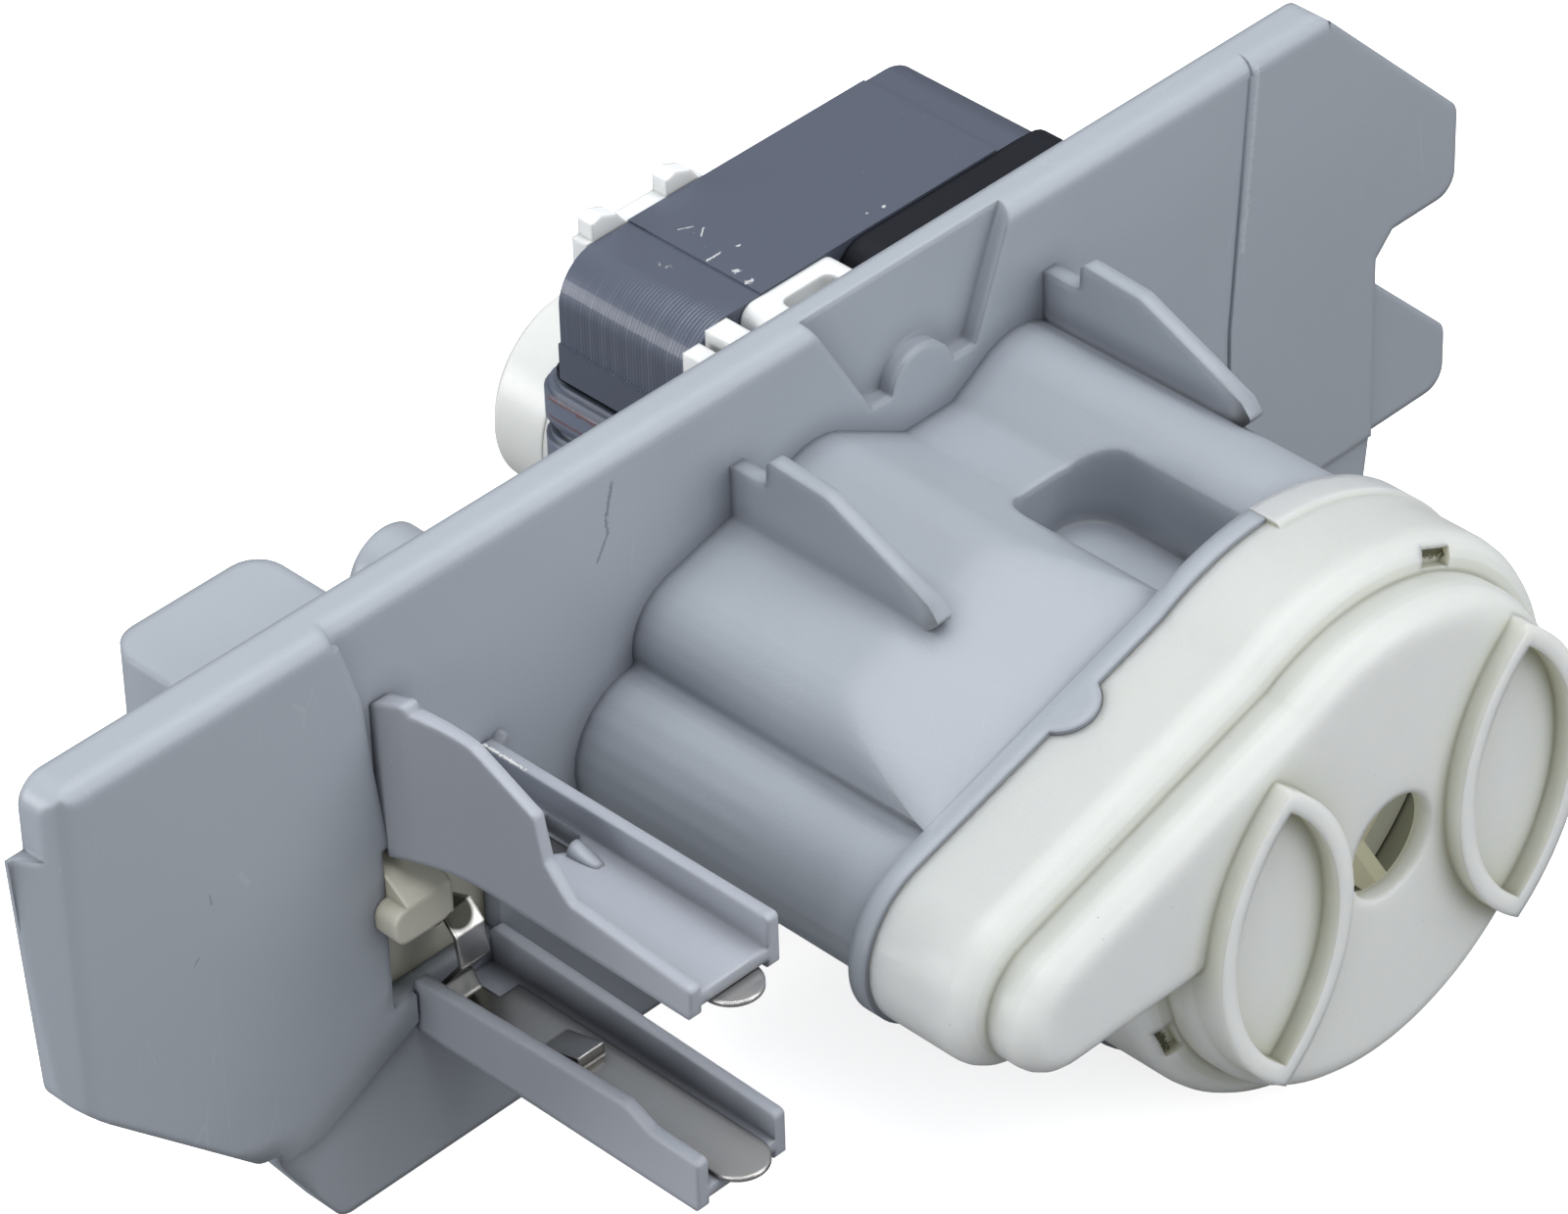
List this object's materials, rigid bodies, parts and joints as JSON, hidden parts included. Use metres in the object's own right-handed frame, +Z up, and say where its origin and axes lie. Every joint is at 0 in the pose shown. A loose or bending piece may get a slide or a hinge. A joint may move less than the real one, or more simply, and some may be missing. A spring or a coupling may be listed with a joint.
{
  "type": "dryer drain pump",
  "caption": "Synchronous drain pump for a clothes dryer, moulded to a long carrier plate with a water level sensor and an outlet nozzle.",
  "frame": {"origin": "middle of the carrier's length and of the part's depth, on the surface that the pump's flange stands on", "axes": "+X along the carrier plate, -Y out of the pump's inlet, +Z up"},
  "size_m": [0.228, 0.1358, 0.0865],
  "materials": {
    "grey_plastic": "matte, blue-grey",
    "white_plastic": "satin, off-white",
    "ivory_plastic": "satin, ivory",
    "black_plastic": "matte, black",
    "lamination": "varnished, dark blue-grey",
    "winding_tape": "insulating tape, blue-grey",
    "stainless": "rolled stainless",
    "bearing_steel": "ground",
    "screw_steel": "zinc plated",
    "brass": "plain",
    "seal_rubber": "moulded",
    "magnet": "sintered ferrite"
  },
  "bodies": {
    "base": {"carrier_plate": "grey_plastic", "sump_housing": "grey_plastic", "upper_sensor_arm": "grey_plastic", "lower_sensor_arm": "grey_plastic", "upper_electrode": "stainless", "lower_electrode": "stainless", "contact_block": "ivory_plastic", "contact_pins": "brass", "plug_hood": "grey_plastic", "outlet_nozzle": "grey_plastic", "pump_cover": "white_plastic", "cover_seal": "seal_rubber", "rotor_can": "white_plastic", "rear_cap": "white_plastic", "front_bearing": "bearing_steel", "rear_bearing": "bearing_steel", "laminated_core": "lamination", "left_bobbin": "black_plastic", "right_bobbin": "black_plastic", "left_winding": "winding_tape", "right_winding": "winding_tape", "front_end_plate": "black_plastic", "motor_bracket": "white_plastic", "bracket_screws": "screw_steel", "terminal_base": "white_plastic", "terminal_tabs": "brass"},
    "rotor": {"rotor_shaft": "stainless", "rotor_core": "black_plastic", "rotor_magnet": "magnet", "drive_dog": "black_plastic"},
    "impeller": {"impeller": "white_plastic", "impeller_cap": "white_plastic"}
  },
  "joints": [
    {"name": "rotor_spin", "type": "hinge", "parent": "base", "child": "rotor", "pos_m": [0.025, 0, 0.036], "axis": [0, 1, 0], "continuous": true},
    {"name": "impeller_play", "type": "hinge", "parent": "rotor", "child": "impeller", "pos_m": [0.025, 0, 0.036], "axis": [0, 1, 0], "range_deg": [-120, 120]}
  ]
}
